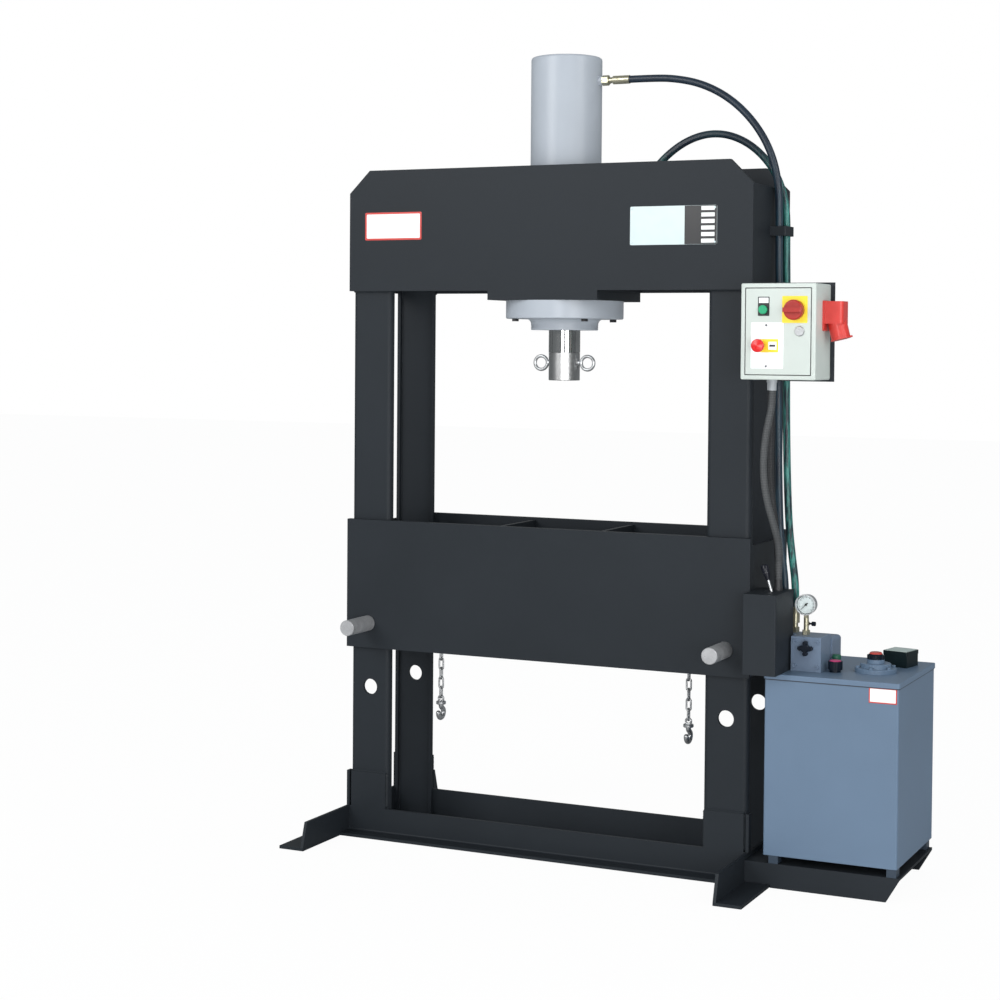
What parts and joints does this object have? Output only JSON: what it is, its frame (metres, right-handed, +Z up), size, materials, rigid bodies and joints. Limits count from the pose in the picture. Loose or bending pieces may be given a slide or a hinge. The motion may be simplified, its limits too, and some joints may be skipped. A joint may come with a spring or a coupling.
{
  "type": "hydraulic workshop press",
  "caption": "Two-column hydraulic workshop press with a pinned bed, an overhead cylinder with lifting eyes, a control box and an electric power unit with hoses.",
  "frame": {"origin": "on the floor, under the ram's axis and midway between front and rear", "axes": "+X to the right towards the power unit, +Y to the rear, +Z up along the ram's axis"},
  "size_m": [2.005, 0.978, 2.625],
  "materials": {
    "frame_paint": "satin",
    "cylinder_paint": "satin",
    "tank_paint": "satin",
    "box_paint": "satin",
    "bright_steel": "satin",
    "ground_rod": "polished",
    "seal_rubber": "matte",
    "hose_rubber": "satin",
    "conduit_plastic": "matte",
    "grey_plastic": "matte",
    "black_plastic": "satin",
    "red_plastic": "gloss",
    "green_plastic": "gloss",
    "blue_plastic": "gloss",
    "valve_paint": "satin",
    "gauge_glass": "clear"
  },
  "bodies": {
    "frame": {"head_front_plate": "frame_paint", "head_rear_plate": "frame_paint", "head_cross_plates": "frame_paint", "head_bolster": "frame_paint", "left_columns": "frame_paint", "right_columns": "frame_paint", "base_beams": "frame_paint", "left_foot": "frame_paint", "right_foot": "frame_paint", "power_unit_platform": "frame_paint", "bed_front_plate": "frame_paint", "bed_rear_plate": "frame_paint", "bed_cross_plates": "frame_paint", "cylinder_tube": "cylinder_paint", "cylinder_flange": "cylinder_paint", "flange_bolts": "bright_steel", "rod_seal": "seal_rubber", "pipe_fittings": "bright_steel", "hose_clamp": "bright_steel", "box_bracket": "frame_paint", "box_shell": "box_paint", "control_gear": "grey_plastic", "conduit_glands": "grey_plastic", "inlet_housing": "red_plastic", "lever_cover": "frame_paint", "tank_shell": "tank_paint", "tank_lid": "tank_paint", "valve_block": "valve_paint", "gauge_case": "bright_steel", "gauge_glass": "gauge_glass", "lid_flange": "tank_paint", "terminal_box": "black_plastic", "pump_set": "valve_paint", "upper_hose": "hose_rubber", "lower_hose": "hose_rubber", "front_conduit": "conduit_plastic", "rear_conduit": "conduit_plastic"},
    "ram": {"ram_rod": "ground_rod", "piston_seals": "seal_rubber", "ram_nose": "bright_steel", "lifting_eyes": "bright_steel"},
    "left_pin": {"left_bed_pin": "bright_steel"},
    "right_pin": {"right_bed_pin": "bright_steel"},
    "left_chain": {"left_chain": "bright_steel"},
    "right_chain": {"right_chain": "bright_steel"},
    "left_hook": {"left_hook": "bright_steel"},
    "right_hook": {"right_hook": "bright_steel"},
    "door": {"box_door": "box_paint"},
    "lock": {"door_lock": "bright_steel"},
    "start_button": {"start_button": "green_plastic"},
    "stop_button": {"stop_button": "red_plastic"},
    "main_switch": {"switch_handle": "red_plastic"},
    "inlet_flap": {"inlet_lid": "red_plastic"},
    "lever": {"control_lever": "bright_steel"},
    "needle": {"gauge_needle": "black_plastic"},
    "pressure_knob": {"star_knob": "black_plastic"},
    "gauge_knob": {"isolator_knob": "black_plastic"},
    "filler": {"filler_cap": "black_plastic"},
    "relief": {"relief_knob": "black_plastic"},
    "rotor": {"motor_shaft": "bright_steel"}
  },
  "joints": [
    {"name": "ram_travel", "type": "slide", "parent": "frame", "child": "ram", "axis": [0, 0, -1], "range_m": [0, 0.5]},
    {"name": "left_pin_slide", "type": "slide", "parent": "frame", "child": "left_pin", "axis": [0, -1, 0], "range_m": [0, 0.42]},
    {"name": "right_pin_slide", "type": "slide", "parent": "frame", "child": "right_pin", "axis": [0, -1, 0], "range_m": [0, 0.42]},
    {"name": "left_chain_swing", "type": "hinge", "parent": "frame", "child": "left_chain", "pos_m": [-0.452, 0, 0.649], "axis": [0, 1, 0], "range_deg": [-50, 50]},
    {"name": "right_chain_swing", "type": "hinge", "parent": "frame", "child": "right_chain", "pos_m": [0.452, 0, 0.649], "axis": [0, 1, 0], "range_deg": [-50, 50]},
    {"name": "left_hook_swing", "type": "hinge", "parent": "left_chain", "child": "left_hook", "pos_m": [-0.452, 0, 0.4511], "axis": [0, 1, 0], "range_deg": [-60, 60]},
    {"name": "right_hook_swing", "type": "hinge", "parent": "right_chain", "child": "right_hook", "pos_m": [0.452, 0, 0.4511], "axis": [0, 1, 0], "range_deg": [-60, 60]},
    {"name": "door_hinge", "type": "hinge", "parent": "frame", "child": "door", "pos_m": [0.738, -0.32, 1.719], "axis": [0, 0, -1], "range_deg": [0, 110]},
    {"name": "lock_turn", "type": "hinge", "parent": "door", "child": "lock", "pos_m": [0.907, -0.32, 1.72], "axis": [0, -1, 0], "range_deg": [0, 90]},
    {"name": "start_press", "type": "slide", "parent": "door", "child": "start_button", "axis": [0, 1, 0], "range_m": [0, 0.004], "stiffness_N_per_m": 500, "springref_m": -0.003},
    {"name": "stop_press", "type": "slide", "parent": "door", "child": "stop_button", "axis": [0, 1, 0], "range_m": [0, 0.005]},
    {"name": "switch_turn", "type": "hinge", "parent": "door", "child": "main_switch", "pos_m": [0.892, -0.32, 1.784], "axis": [0, 1, 0], "range_deg": [0, 90]},
    {"name": "flap_hinge", "type": "hinge", "parent": "frame", "child": "inlet_flap", "pos_m": [1.03822, -0.215, 1.70717], "axis": [0, -1, 0], "range_deg": [0, 100], "stiffness_Nm_per_rad": 0.05, "springref_deg": -28.65},
    {"name": "lever_pivot", "type": "hinge", "parent": "frame", "child": "lever", "pos_m": [0.796, -0.172, 0.868], "axis": [0, 1, 0], "range_deg": [-15, 15], "stiffness_Nm_per_rad": 3},
    {"name": "needle_turn", "type": "hinge", "parent": "frame", "child": "needle", "pos_m": [0.866, -0.075, 0.867], "axis": [0, 1, 0], "range_deg": [0, 270], "stiffness_Nm_per_rad": 0.002, "springref_deg": -11.46},
    {"name": "pressure_turn", "type": "hinge", "parent": "frame", "child": "pressure_knob", "pos_m": [0.884, -0.13, 0.739], "axis": [0, 1, 0], "range_deg": [0, 360]},
    {"name": "gauge_turn", "type": "hinge", "parent": "frame", "child": "gauge_knob", "pos_m": [0.88, -0.075, 0.8075], "axis": [1, 0, 0], "range_deg": [0, 360]},
    {"name": "filler_turn", "type": "hinge", "parent": "frame", "child": "filler", "pos_m": [1.077, -0.03, 0.705], "axis": [0, 0, 1], "range_deg": [0, 360]},
    {"name": "relief_turn", "type": "hinge", "parent": "frame", "child": "relief", "pos_m": [0.966, -0.094, 0.665], "axis": [0, 0, 1], "range_deg": [0, 360]},
    {"name": "rotor_spin", "type": "hinge", "parent": "frame", "child": "rotor", "pos_m": [1.06, 0.06, 0.4], "axis": [0, 0, 1], "continuous": true}
  ]
}
